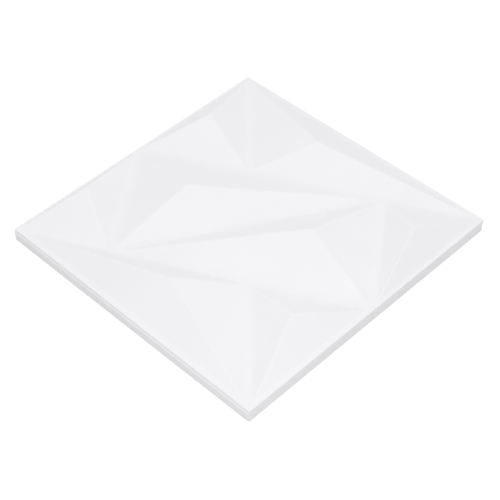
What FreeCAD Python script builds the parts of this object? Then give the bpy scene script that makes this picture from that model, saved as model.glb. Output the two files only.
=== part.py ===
import FreeCAD, Part
import os

import Sketcher

# A square wall tile formed from one sheet of rigid PVC: eight low pyramids rise from its face,
# a short skirt turns down round its four sides, and its back is hollow and follows the face.
# +Z is the face side, the tile lies on the skirt's rim at z = 0, and X and Y are its centre lines.

SIZES = (
    # The face, the skirt and the sheet
    ("side", 300.0),
    ("skirt_depth", 12.5),
    ("sheet", 1.2),
    ("corner_radius", 1.8),
    ("edge_radius", 0.8),
    # The lap: the skirt stands this far in front of the lip on one side and behind it on the other
    ("lap", 1.0),
    ("lip_depth", 3.0),
    # The pyramids: peak above the face, and feet below it, which leaves flat valleys between them,
    # and inside the outline, which leaves a flat rim
    ("relief", 22.6),
    ("foot_depth", 1.8),
    ("foot_inset", 1.2),
    # The two inner corners where pyramids meet, from the centre lines
    ("inner_node_left", 50.9),
    ("inner_node_up", 51.2),
    ("low_node_left", 66.6),
    # The four peaks of one half, from the centre lines or the nearest side
    ("upper_peak_inset", 34.1),
    ("upper_peak_up", 64.9),
    ("top_peak_inset", 44.0),
    ("top_peak_left", 14.3),
    ("middle_peak_left", 60.1),
    ("middle_peak_down", 17.8),
    ("lower_peak_inset", 25.5),
    ("lower_peak_down", 82.9),
)

UP = FreeCAD.Vector(0, 0, 1)
HALF_TURN = FreeCAD.Rotation(UP, 180)

doc = FreeCAD.newDocument("wall_tile")
sheet = doc.addObject("Spreadsheet::Sheet", "sizes")
for row, (alias, size) in enumerate(SIZES, start=1):
    sheet.set(f"A{row}", alias)
    sheet.set(f"B{row}", str(size))
    sheet.setAlias(f"B{row}", alias)
doc.recompute()


def bind(item, **expressions):
    """Bind properties of an object to the sheet; a double underscore stands for a dot."""
    for name, expression in expressions.items():
        item.setExpression(name.replace("__", "."), expression)


def add(kind, name, **expressions):
    """Add an object to the document with its sizes bound to the sheet."""
    item = doc.addObject(kind, name)
    bind(item, **expressions)
    return item


def size_of(expression):
    """The number that an expression of the sheet's sizes gives now."""
    return float(sheet.evalExpression(expression.replace("sizes.", "")))


# Plan places of the corners where pyramids meet, as x and y from the middle of the face.
# A y of None lies on the centre line. Turning the plan by half a turn gives the other four.
HALF = "sizes.side / 2"
REACH = f"({HALF} - sizes.foot_inset)"
TOP_LEFT = (f"-{REACH}", REACH)
TOP_RIGHT = (REACH, REACH)
LOW_LEFT = (f"-{REACH}", f"-{REACH}")
MID_LEFT = (f"-{REACH}", None)
INNER_NODE = ("-sizes.inner_node_left", "sizes.inner_node_up")
# The high node lies on the straight line from the inner node to the top right corner
ALONG_LINE = f"(sizes.inner_node_left + sizes.low_node_left) / (sizes.inner_node_left + {REACH})"
HIGH_NODE_UP = f"sizes.inner_node_up + ({REACH} - sizes.inner_node_up) * {ALONG_LINE}"
HIGH_NODE = ("sizes.low_node_left", HIGH_NODE_UP)
LOW_NODE = ("-sizes.low_node_left", f"-({HIGH_NODE_UP})")

# The four pyramids of one half of the face: corners of the foot, then the peak
PYRAMIDS = {
    "upper": (
        (TOP_LEFT, MID_LEFT, INNER_NODE),
        (f"sizes.upper_peak_inset - {HALF}", "sizes.upper_peak_up"),
    ),
    "top": (
        (TOP_LEFT, INNER_NODE, TOP_RIGHT),
        ("-sizes.top_peak_left", f"{HALF} - sizes.top_peak_inset"),
    ),
    "middle": (
        (MID_LEFT, LOW_NODE, HIGH_NODE, INNER_NODE),
        ("-sizes.middle_peak_left", "-sizes.middle_peak_down"),
    ),
    "lower": (
        (LOW_LEFT, LOW_NODE, MID_LEFT),
        (f"sizes.lower_peak_inset - {HALF}", "-sizes.lower_peak_down"),
    ),
}


def foot_sketch(name, corners):
    """A closed outline of straight lines, each corner placed from the middle of the face."""
    sketch = add("Sketcher::SketchObject", name, Placement__Base__z="-sizes.foot_depth")
    points = [FreeCAD.Vector(size_of(x), size_of(y or "0"), 0) for x, y in corners]
    for start, end in zip(points, points[1:] + points[:1]):
        sketch.addGeometry(Part.LineSegment(start, end))
    for line, (x, y) in enumerate(corners):
        following = (line + 1) % len(corners)
        sketch.addConstraint(Sketcher.Constraint("Coincident", line, 2, following, 1))
        along = sketch.addConstraint(Sketcher.Constraint("DistanceX", -1, 1, line, 1, points[line].x))
        sketch.setExpression(f"Constraints[{along}]", x)
        if y is None:
            sketch.addConstraint(Sketcher.Constraint("PointOnObject", line, 1, -1))
        else:
            up = sketch.addConstraint(Sketcher.Constraint("DistanceY", -1, 1, line, 1, points[line].y))
            sketch.setExpression(f"Constraints[{up}]", y)
    return sketch


def pyramid(name, corners, peak):
    """A pyramid with flat facets from its foot outline to its peak."""
    foot = foot_sketch(f"{name}_foot", corners)
    tip = add("Part::Vertex", f"{name}_peak", X=peak[0], Y=peak[1], Z="sizes.relief")
    loft = doc.addObject("Part::Loft", f"{name}_pyramid")
    loft.Sections = [foot, tip]
    loft.Solid = True
    loft.Ruled = True
    return loft


def block(name, half_width, low, high, bottom, top):
    """A box centred on X, given by expressions for its half width, its ends in Y and its levels."""
    return add(
        "Part::Box",
        name,
        Length=f"2 * ({half_width})",
        Width=f"({high}) - ({low})",
        Height=f"({top}) - ({bottom})",
        Placement__Base__x=f"-({half_width})",
        Placement__Base__y=low,
        Placement__Base__z=bottom,
    )


def fused(name, pieces):
    """One solid of several pieces, with the seams between flat faces taken out."""
    join = doc.addObject("Part::MultiFuse", name)
    join.Shapes = pieces
    join.Refine = True
    return join


def placed(name, source, **expressions):
    """A copy of an object that follows it, moved or turned."""
    copy = add("Part::Compound", name, **expressions)
    copy.Links = [source]
    return copy


def rounded(name, source, radius, picks):
    """Round the edges of an object that a test picks out by their middle point and direction."""
    doc.recompute()
    chosen = []
    for number, edge in enumerate(source.Shape.Edges, start=1):
        middle = edge.valueAt((edge.FirstParameter + edge.LastParameter) / 2)
        if picks(middle, edge.tangentAt(edge.FirstParameter)):
            chosen.append((number, radius, radius))
    fillet = doc.addObject("Part::Fillet", name)
    fillet.Base = source
    fillet.Edges = chosen
    return fillet


def stands_upright(_middle, direction):
    """True for the vertical edges at the corners of a block."""
    return direction.cross(UP).Length < Part.Precision.confusion()


# The relief is drawn round the middle of the face at the level of its valleys, which cut off the feet
half_relief = fused("half_relief", [pyramid(name, *shape) for name, shape in PYRAMIDS.items()])
turned_relief = placed("turned_relief", half_relief)
turned_relief.Placement.Rotation = HALF_TURN
pyramids = fused("pyramids", [half_relief, turned_relief])
WITHIN = f"{HALF} - sizes.sheet"
above_valleys = block("above_valleys", WITHIN, f"-({WITHIN})", WITHIN, "0", "sizes.relief")
relief = doc.addObject("Part::Common", "relief")
relief.Base = pyramids
relief.Tool = above_valleys

# Outside: a lip round the face over a skirt that stands forward on one side by the lap
LIP_LOW = f"sizes.lap / 2 - {HALF}"
LIP_HIGH = f"sizes.lap / 2 + {HALF}"
SKIRT_LOW = f"-sizes.lap / 2 - {HALF}"
SKIRT_HIGH = f"{HALF} - sizes.lap / 2"
FACE = "sizes.skirt_depth"
LIP_FOOT = "sizes.skirt_depth - sizes.lip_depth"

lip = block("lip", HALF, LIP_LOW, LIP_HIGH, LIP_FOOT, FACE)
skirt = block("skirt", HALF, SKIRT_LOW, SKIRT_HIGH, "0", LIP_FOOT)
corner_radius = size_of("corner_radius")
lip_corners = rounded("lip_corners", lip, corner_radius, stands_upright)
skirt_corners = rounded("skirt_corners", skirt, corner_radius, stands_upright)


def on_face_rim(middle, _direction):
    """True for the edges round the top of the lip."""
    return abs(middle.z - size_of(FACE)) < Part.Precision.confusion()


lip_rim = rounded("lip_rim", lip_corners, size_of("edge_radius"), on_face_rim)
face_relief = placed("face_relief", relief, Placement__Base__y="sizes.lap / 2", Placement__Base__z=FACE)
outside = fused("outside", [lip_rim, skirt_corners, face_relief])

# Inside: the same form one sheet further in at the sides and one sheet lower under the face
CEILING = "sizes.skirt_depth - sizes.sheet"
inner_radius = corner_radius - size_of("sheet")
STEP_FLOOR = f"{LIP_FOOT} - sizes.sheet"
STEP_ROOF = f"{LIP_FOOT} + sizes.sheet"
IN_LIP_LOW = f"{LIP_LOW} + sizes.sheet"
IN_LIP_HIGH = f"{LIP_HIGH} - sizes.sheet"
IN_SKIRT_LOW = f"{SKIRT_LOW} + sizes.sheet"
IN_SKIRT_HIGH = f"{SKIRT_HIGH} - sizes.sheet"
lip_hollow = block("lip_hollow", WITHIN, IN_LIP_LOW, IN_LIP_HIGH, STEP_ROOF, CEILING)
step_hollow = block("step_hollow", WITHIN, IN_LIP_LOW, IN_SKIRT_HIGH, STEP_FLOOR, STEP_ROOF)
skirt_hollow = block("skirt_hollow", WITHIN, IN_SKIRT_LOW, IN_SKIRT_HIGH, "0", STEP_FLOOR)
hollow_corners = [
    rounded(f"{hollow.Name}_corners", hollow, inner_radius, stands_upright)
    for hollow in (lip_hollow, step_hollow, skirt_hollow)
]
back_relief = placed("back_relief", relief, Placement__Base__y="sizes.lap / 2", Placement__Base__z=CEILING)
inside = fused("inside", [*hollow_corners, back_relief])

panel = doc.addObject("Part::Cut", "panel")
panel.Base = outside
panel.Tool = inside
panel.Label = "panel"
panel.Refine = True
doc.recompute()

for item in doc.Objects:
    if {"Invalid", "Error"} & set(item.State):
        raise RuntimeError(f"{item.Label} did not build: {item.State}")
if panel.Shape.isNull() or not panel.Shape.isValid() or len(panel.Shape.Solids) != 1:
    raise RuntimeError("The panel is not one valid solid")

os.makedirs("parts", exist_ok=True)
panel.Shape.exportStep(f"parts/{panel.Label}.step")
box = panel.Shape.optimalBoundingBox()
print(f"{panel.Label}: {box.XLength:.2f} x {box.YLength:.2f} x {box.ZLength:.2f} mm")
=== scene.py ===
import math

import bmesh
import bpy
import numpy as np
from mathutils import Matrix, Vector


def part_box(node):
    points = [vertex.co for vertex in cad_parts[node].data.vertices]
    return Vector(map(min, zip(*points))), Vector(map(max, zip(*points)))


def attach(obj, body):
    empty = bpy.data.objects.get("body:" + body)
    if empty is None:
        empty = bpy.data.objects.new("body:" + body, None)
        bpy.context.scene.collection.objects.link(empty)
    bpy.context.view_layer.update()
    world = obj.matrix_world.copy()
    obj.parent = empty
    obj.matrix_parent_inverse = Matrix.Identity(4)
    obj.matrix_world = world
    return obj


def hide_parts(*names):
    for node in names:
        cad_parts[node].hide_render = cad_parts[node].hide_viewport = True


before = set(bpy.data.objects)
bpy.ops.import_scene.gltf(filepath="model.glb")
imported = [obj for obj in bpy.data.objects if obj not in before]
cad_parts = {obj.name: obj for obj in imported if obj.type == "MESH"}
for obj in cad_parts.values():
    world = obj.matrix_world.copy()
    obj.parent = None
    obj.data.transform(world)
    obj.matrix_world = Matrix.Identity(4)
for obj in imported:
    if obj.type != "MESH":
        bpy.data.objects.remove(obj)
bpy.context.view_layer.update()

# The tile: one sheet of rigid white PVC, drawn hot over a mould into eight low pyramids, so that its ridges
# are fairly crisp and its valleys soft. A lip and a skirt turn down round the face, and the back is hollow.
# It is one piece, and is glued to a wall by the rim of its skirt.
panel_low, panel_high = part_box("panel")
SIDE = panel_high.x - panel_low.x
LAP = (panel_high.y - panel_low.y) - SIDE
SKIRT_DEPTH = 0.0125
RELIEF = panel_high.z - SKIRT_DEPTH
SHEET = 0.0012
LIP_DEPTH = 0.003
CORNER_RADIUS = 0.0018
EDGE_RADIUS = 0.0008

# The relief seen from above, from the middle of the face: the corners where pyramids meet. The feet lie a
# little inside the outline, which leaves a flat rim, and below the face, which leaves flat valleys.
HALF = SIDE / 2
FOOT_INSET = 0.0012
FOOT_DEPTH = 0.0018
REACH = HALF - FOOT_INSET
INNER_CORNER = np.array([-0.0509, 0.0512])
HIGH_CORNER_X = 0.0666
TOP_RIGHT = np.array([REACH, REACH])
along_valley = (HIGH_CORNER_X - INNER_CORNER[0]) / (REACH - INNER_CORNER[0])
HIGH_CORNER = INNER_CORNER + along_valley * (TOP_RIGHT - INNER_CORNER)
LOW_CORNER = -HIGH_CORNER
TOP_LEFT = np.array([-REACH, REACH])
MID_LEFT = np.array([-REACH, 0.0])
LOW_LEFT = np.array([-REACH, -REACH])

# Each pyramid of one half: its foot, anticlockwise, any other corner along a side of it, and its peak
HALF_PYRAMIDS = (
    ((TOP_LEFT, MID_LEFT, INNER_CORNER), None, (-0.1159, 0.0649)),
    ((TOP_LEFT, INNER_CORNER, TOP_RIGHT), HIGH_CORNER, (-0.0143, 0.1060)),
    ((MID_LEFT, LOW_CORNER, HIGH_CORNER, INNER_CORNER), None, (-0.0601, -0.0178)),
    ((LOW_LEFT, LOW_CORNER, MID_LEFT), None, (-0.1245, -0.0829)),
)

# Facets bend into the valleys from this far above the face to this far below it
VALLEY_SOFTNESS = 0.0013
# Planes that differ by less than about this in height blend over a ridge
RIDGE_SOFTNESS = 0.0004

# How finely the sheet is divided: steps along half an edge, down half a facet and through a valley's bend,
# and the share of the way from a peak to its foot over which even columns turn into crowded ones
EDGE_STEPS = 14
EDGE_GROWTH = 1.4
FACET_STEPS = 8
FACET_GROWTH = 1.7
VALLEY_STEPS = 10
EVEN_SHARE = 0.3


def grown_steps(count, growth):
    """Shares from 0 to 1 whose steps grow by a constant ratio from both ends to the middle."""
    half = (growth ** np.arange(count + 1) - 1) / (growth**count - 1) / 2
    return np.concatenate([half, 1 - half[-2::-1]])


EDGE_SHARES = grown_steps(EDGE_STEPS, EDGE_GROWTH)[:-1]


def rim_direction(points):
    """For points on the outer sides of the feet, the nearest points on the square of the rounded corners'
    centres, and the directions from there to the outline."""
    outline = points * HALF / REACH
    centre_reach = HALF - CORNER_RADIUS
    centres = np.clip(outline, -centre_reach, centre_reach)
    outwards = outline - centres
    return centres, outwards / np.linalg.norm(outwards, axis=-1, keepdims=True)


def on_rim(points, inset):
    """Points on the outer sides of the feet carried to the rounded outline less an inset: the corner centre,
    plus the corner radius less the inset, outwards."""
    centres, outwards = rim_direction(points)
    return centres + outwards * (CORNER_RADIUS - inset)


def on_outer_side(point):
    """True for a point on the outer side of a foot, whose larger coordinate is the reach of the feet."""
    return bool(np.isclose(np.abs(point).max(), REACH))


def foot_edge(start, end, inset):
    """One foot edge, as it ends the mesh of a pyramid: a side of the tile follows the rounded rim, and any
    other is straight between its ends, of which those on an outer side are carried to the rim."""
    if on_outer_side((start + end) / 2):
        return on_rim(start + EDGE_SHARES[:, None] * (end - start), inset)
    start, end = (on_rim(point, inset) if on_outer_side(point) else point for point in (start, end))
    return start + EDGE_SHARES[:, None] * (end - start)


def relief_height(plan, foot, peak):
    """Height of one pyramid above the face. Each facet is a plane that rises from its foot edge, which is
    sunk below the face, to the peak in proportion to the distance from that edge. Minus the logarithm of the
    sum of exp(-plane) rounds the ridges, and a quarter of a square blends the feet into the face."""
    planes = []
    for start, end in zip(foot, np.roll(foot, -1, axis=0)):
        inwards = np.array([start[1] - end[1], end[0] - start[0]])
        share = (plan - start) @ inwards / ((peak - start) @ inwards)
        planes.append(share * (RELIEF + FOOT_DEPTH) - FOOT_DEPTH)
    height = -RIDGE_SOFTNESS * np.logaddexp.reduce(-np.array(planes) / RIDGE_SOFTNESS, axis=0)
    bend = np.clip(height + VALLEY_SOFTNESS, 0, 2 * VALLEY_SOFTNESS) ** 2 / (4 * VALLEY_SOFTNESS)
    return np.where(height > VALLEY_SOFTNESS, height, bend)


def pyramid_grid(foot, ring, peak, inset):
    """One pyramid as a grid of points: rows are copies of the foot outline shrunk towards the peak, and
    columns run round it, crowding towards the ridges. The last row is the foot itself, at face level."""
    top_share = (RELIEF - VALLEY_SOFTNESS) / (RELIEF + FOOT_DEPTH)
    flat_share = (RELIEF + VALLEY_SOFTNESS) / (RELIEF + FOOT_DEPTH)
    down_facet = top_share * grown_steps(FACET_STEPS, FACET_GROWTH)
    through_valley = np.linspace(top_share, flat_share, VALLEY_STEPS + 1)[1:]
    shares = np.concatenate([down_facet, through_valley])[:, None]
    even = np.arange(len(EDGE_SHARES)) / len(EDGE_SHARES)
    steps = even + (EDGE_SHARES - even) * np.clip(shares / EVEN_SHARE, 0, 1)
    rows, last = [], []
    for start, end in zip(ring, np.roll(ring, -1, axis=0)):
        edge = start + steps[..., None] * (end - start)
        rows.append(peak + shares[..., None] * (edge - peak))
        last.append(foot_edge(start, end, inset))
    plan = np.concatenate(rows, axis=1)
    height = relief_height(plan, foot, peak)
    plan = np.concatenate([plan, np.concatenate(last)[None]])
    height = np.concatenate([height, np.zeros_like(height[:1])])
    return np.concatenate([plan, height[..., None]], axis=-1)


def face_grids(inset):
    """All eight pyramids: those of one half, and the same turned half a turn about the middle."""
    grids = []
    for foot, corner_along, peak in HALF_PYRAMIDS:
        ring = list(foot)
        if corner_along is not None:
            ring.insert(2, corner_along)
        foot, ring, peak = np.array(foot), np.array(ring), np.array(peak)
        grids += [pyramid_grid(turn * foot, turn * ring, turn * peak, inset) for turn in (1, -1)]
    return grids


# The bent edge of the sheet, from the flat rim over the lip, its sloping step and the skirt to the rounded
# cut, and back up the inside to a small bevel under the face
RIM_FLAT = 0.0011
STEP_RADIUS = 0.0004
STEP_FALL = 0.0012
CUT_RADIUS = 0.0002
INNER_BEVEL = 0.0001
WALL_STEPS = 4
BEND_STEPS = 6


def section_rows(inset, level, share=0.0, rise=0.0):
    """Rows of the section of the bent edge, where a single number holds for all of them."""
    return np.stack(np.broadcast_arrays(inset, level, share, rise), axis=-1)


def edge_profile():
    """The section of the bent edge as rows of inset from the outline, level above the face, share of the lap
    and rise, which is how much higher a row lies on the side where the lip stands out than on the sides.
    Bends are quarter circles, by the sine and cosine of an angle, and walls are straight between them."""
    angle = np.linspace(0, math.pi / 2, BEND_STEPS + 1)
    sine, cosine = np.sin(angle), np.cos(angle)
    between = np.linspace(0, 1, WALL_STEPS + 1)[1:-1, None]
    face = section_rows(RIM_FLAT, [0.0])
    edge = section_rows(EDGE_RADIUS * (1 - sine), EDGE_RADIUS * (cosine - 1))
    near = STEP_RADIUS / LAP * (1 - cosine)
    far = 1 - STEP_RADIUS / LAP * (1 - sine)
    share = np.concatenate([near, far])
    drop = STEP_RADIUS * np.concatenate([1 - sine, cosine - 1])
    step = section_rows(0.0, drop - LIP_DEPTH - STEP_FALL * (share - 0.5), share)
    heel = section_rows(CUT_RADIUS * (1 - cosine), CUT_RADIUS * (1 - sine) - SKIRT_DEPTH, 1.0)
    toe = section_rows(SHEET - CUT_RADIUS * (1 - sine), CUT_RADIUS * (1 - cosine) - SKIRT_DEPTH, 1.0)
    inner_step = step[::-1] + np.array([SHEET, 0.0, 0.0, SHEET])
    ceiling = section_rows([SHEET, SHEET + INNER_BEVEL], [-SHEET - INNER_BEVEL, -SHEET])
    skirt = step[-1] + between * (heel[0] - step[-1])
    inner_skirt = toe[-1] + between * (inner_step[0] - toe[-1])
    return np.concatenate([face, edge, step, skirt, heel, toe, inner_skirt, inner_step, ceiling])


def edge_grid():
    """The bent edge carried round the outline, anticlockwise: a point is the outline's point at the row's
    inset, moved along Y from the lip's place to the skirt's by the row's share of the lap."""
    half = (TOP_LEFT, MID_LEFT, LOW_LEFT)
    corners = np.array([*half, *(-np.array(half))])
    sides = corners[:, None] + EDGE_SHARES[:, None] * (np.roll(corners, -1, axis=0) - corners)[:, None]
    centres, outwards = rim_direction(sides.reshape(-1, 2))
    inset, level, share, rise = edge_profile().T[:, :, None]
    plan = centres + outwards * (CORNER_RADIUS - inset[..., None])
    plan = plan - np.array([0.0, LAP]) * share[..., None]
    height = level + rise * outwards[:, 1]
    return np.concatenate([plan, height[..., None]], axis=-1)


def grid_quads(rows, columns):
    """Corners of the quads of a grid whose columns close into a ring, ordered so that a surface whose rows
    run outwards from the middle faces up."""
    here = np.arange(rows * columns).reshape(rows, columns)
    after = np.roll(here, -1, axis=1)
    return np.stack([here[:-1], here[1:], after[1:], after[:-1]], axis=-1).reshape(-1, 4)


JOIN_DISTANCE = 1e-7


def sheet_mesh(name):
    """The whole sheet as one closed mesh: face, bent edge, and the back, which is the face lowered by the
    sheet's thickness and turned over. Rows that meet are joined, and so are the columns at each peak."""
    lowered = np.array([0.0, 0.0, -SHEET])
    face = [(grid, False) for grid in face_grids(RIM_FLAT)]
    back = [(grid + lowered, True) for grid in face_grids(SHEET + INNER_BEVEL)]
    points, quads, count = [], [], 0
    for grid, turned_over in [*face, (edge_grid(), False), *back]:
        corners = grid_quads(*grid.shape[:2]) + count
        quads.append(corners[:, ::-1] if turned_over else corners)
        points.append(grid.reshape(-1, 3))
        count += grid.shape[0] * grid.shape[1]
    place = np.array([0.0, LAP / 2, SKIRT_DEPTH])
    mesh = bpy.data.meshes.new(name)
    mesh.from_pydata((np.concatenate(points) + place).tolist(), [], np.concatenate(quads).tolist())
    joined = bmesh.new()
    joined.from_mesh(mesh)
    bmesh.ops.remove_doubles(joined, verts=joined.verts, dist=JOIN_DISTANCE)
    joined.to_mesh(mesh)
    joined.free()
    mesh.shade_smooth()
    mesh.validate()
    return mesh


# The finish: clouds, sheen and ripple are noise with so many waves to the metre, of so many octaves
PVC_REFRACTION = 1.53
CLOUD_NOISE = (14, 4)
CLOUD_WHITES = ((0.3, (0.903, 0.900, 0.917, 1)), (0.7, (0.923, 0.920, 0.938, 1)))
SHEEN_NOISE = (45, 3)
ROUGHNESS_RANGE = (0.54, 0.66)
RIPPLE_NOISE = (420, 2)
RIPPLE_STRENGTH = 0.12
RIPPLE_HEIGHT = 0.0002


def low_sheen_pvc():
    """White PVC with a low sheen: a faintly cool white that clouds a little over the sheet, a roughness that
    varies with how the sheet lay on the mould, and the fine ripple of a drawn sheet as bump."""
    material = bpy.data.materials.new("low_sheen_pvc")
    material.use_nodes = True
    nodes, links = material.node_tree.nodes, material.node_tree.links
    shader = nodes["Principled BSDF"]
    shader.inputs["IOR"].default_value = PVC_REFRACTION
    place = nodes.new("ShaderNodeTexCoord")

    def noise(scale, detail):
        """Smooth noise from 0 to 1 that is fixed to the tile."""
        texture = nodes.new("ShaderNodeTexNoise")
        texture.inputs["Scale"].default_value = scale
        texture.inputs["Detail"].default_value = detail
        links.new(place.outputs["Object"], texture.inputs["Vector"])
        return texture.outputs["Fac"]

    cloud = nodes.new("ShaderNodeValToRGB")
    for stop, (position, white) in zip(cloud.color_ramp.elements, CLOUD_WHITES):
        stop.position = position
        stop.color = white
    links.new(noise(*CLOUD_NOISE), cloud.inputs["Fac"])
    links.new(cloud.outputs["Color"], shader.inputs["Base Color"])

    sheen = nodes.new("ShaderNodeMapRange")
    sheen.inputs["To Min"].default_value, sheen.inputs["To Max"].default_value = ROUGHNESS_RANGE
    links.new(noise(*SHEEN_NOISE), sheen.inputs["Value"])
    links.new(sheen.outputs["Result"], shader.inputs["Roughness"])

    ripple = nodes.new("ShaderNodeBump")
    ripple.inputs["Strength"].default_value = RIPPLE_STRENGTH
    ripple.inputs["Distance"].default_value = RIPPLE_HEIGHT
    links.new(noise(*RIPPLE_NOISE), ripple.inputs["Height"])
    links.new(ripple.outputs["Normal"], shader.inputs["Normal"])
    return material


tile = bpy.data.objects.new("formed_tile", sheet_mesh("formed_tile"))
bpy.context.scene.collection.objects.link(tile)
tile.data.materials.append(low_sheen_pvc())
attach(tile, "root")
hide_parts("panel")

# The floor: a plain white sweep that the tile lies on. Seen directly or mirrored it has a little glow of its
# own, so that it is white around the tile's soft shadow, and it sends less light back up than it seems to.
FLOOR_REACH = 6.0
FLOOR_WHITE = 0.68
FLOOR_GLOW = 0.48
floor_mesh = bpy.data.meshes.new("floor")
floor_corners = [(x * FLOOR_REACH, y * FLOOR_REACH, 0.0) for x, y in ((-1, -1), (1, -1), (1, 1), (-1, 1))]
floor_mesh.from_pydata(floor_corners, [], [(0, 1, 2, 3)])
floor = bpy.data.objects.new("floor", floor_mesh)
bpy.context.scene.collection.objects.link(floor)


def seen_directly(tree):
    """1 for rays from the camera, off a gloss or through a clear thing, which is the largest of the three
    marks that a ray carries, and 0 for the light that things get."""
    light_path = tree.nodes.new("ShaderNodeLightPath")
    either = light_path.outputs["Is Camera Ray"]
    for other in ("Is Glossy Ray", "Is Transmission Ray"):
        larger = tree.nodes.new("ShaderNodeMath")
        larger.operation = "MAXIMUM"
        tree.links.new(either, larger.inputs[0])
        tree.links.new(light_path.outputs[other], larger.inputs[1])
        either = larger.outputs["Value"]
    return either


def white_floor():
    """Diffuse white, to which a glow is added where the floor is seen directly."""
    material = bpy.data.materials.new("white_floor")
    material.use_nodes = True
    tree = material.node_tree
    tree.nodes.clear()
    output = tree.nodes.new("ShaderNodeOutputMaterial")
    white = tree.nodes.new("ShaderNodeBsdfDiffuse")
    white.inputs["Color"].default_value = (FLOOR_WHITE, FLOOR_WHITE, FLOOR_WHITE, 1)
    glow = tree.nodes.new("ShaderNodeEmission")
    strength = tree.nodes.new("ShaderNodeMath")
    strength.operation = "MULTIPLY"
    strength.inputs[1].default_value = FLOOR_GLOW
    tree.links.new(seen_directly(tree), strength.inputs[0])
    tree.links.new(strength.outputs["Value"], glow.inputs["Strength"])
    both = tree.nodes.new("ShaderNodeAddShader")
    tree.links.new(white.outputs["BSDF"], both.inputs[0])
    tree.links.new(glow.outputs["Emission"], both.inputs[1])
    tree.links.new(both.outputs["Shader"], output.inputs["Surface"])
    return material


floor.data.materials.append(white_floor())

# The light: an even pale surround, a broad soft lamp high over the tile, and a weak low one in front of it.
# Seen directly, the surround is plain white.
SURROUND_STRENGTH = 0.772
BACKDROP_STRENGTH = 1.0
world = bpy.data.worlds.new("surround")
bpy.context.scene.world = world
world.use_nodes = True
sky = world.node_tree
surround = sky.nodes["Background"]
surround.inputs["Color"].default_value = (1, 1, 1, 1)
surround.inputs["Strength"].default_value = SURROUND_STRENGTH
backdrop = sky.nodes.new("ShaderNodeBackground")
backdrop.inputs["Color"].default_value = (1, 1, 1, 1)
backdrop.inputs["Strength"].default_value = BACKDROP_STRENGTH
choice = sky.nodes.new("ShaderNodeMixShader")
sky.links.new(seen_directly(sky), choice.inputs["Fac"])
sky.links.new(surround.outputs["Background"], choice.inputs[1])
sky.links.new(backdrop.outputs["Background"], choice.inputs[2])
sky.links.new(choice.outputs["Shader"], sky.nodes["World Output"].inputs["Surface"])

LAMPS = (
    # Name, bearing and height in degrees, distance and width in metres, power in watts
    ("high_lamp", 62, 78, 1.5, 1.2, 4.6),
    ("low_lamp", 46, 12, 0.5, 0.4, 0.12),
)


def from_origin(bearing, height):
    """The direction at a bearing, counted from the front towards +X, and a height above the floor, in
    radians: sine and minus cosine of the bearing, times the cosine of the height, and the height's sine."""
    level = math.cos(height)
    return Vector((math.sin(bearing) * level, -math.cos(bearing) * level, math.sin(height)))


for name, bearing, height, distance, width, power in LAMPS:
    direction = from_origin(math.radians(bearing), math.radians(height))
    lamp = bpy.data.lights.new(name, "AREA")
    lamp.shape = "DISK"
    lamp.size = width
    lamp.energy = power
    lamp_object = bpy.data.objects.new(name, lamp)
    lamp_object.location = direction * distance
    lamp_object.rotation_mode = "QUATERNION"
    lamp_object.rotation_quaternion = direction.to_track_quat("Z", "Y")
    lamp_object.visible_camera = False
    bpy.context.scene.collection.objects.link(lamp_object)

# The camera: a long lens that looks down on the tile from over the corner between the ledge's side and the
# right side, turned a little about its own axis.
CAMERA_AZIMUTH = math.radians(46.243)
CAMERA_ELEVATION = math.radians(45.769)
CAMERA_ROLL = math.radians(-1.989)
CAMERA_DISTANCE = 1.2107
CAMERA_TARGET = Vector((0.02389, -0.02232 + LAP / 2, SKIRT_DEPTH))
CAMERA_LENS = 98.50
CAMERA_SENSOR = 36.0
back = from_origin(CAMERA_AZIMUTH, CAMERA_ELEVATION)
camera = bpy.data.cameras.new("camera")
camera.lens = CAMERA_LENS
camera.sensor_width = CAMERA_SENSOR
camera_object = bpy.data.objects.new("camera", camera)
facing = (-back).to_track_quat("-Z", "Y").to_matrix() @ Matrix.Rotation(CAMERA_ROLL, 3, "Z")
camera_object.matrix_world = Matrix.Translation(CAMERA_TARGET + back * CAMERA_DISTANCE) @ facing.to_4x4()
bpy.context.scene.collection.objects.link(camera_object)
bpy.context.scene.camera = camera_object
bpy.context.scene.view_settings.view_transform = "Standard"
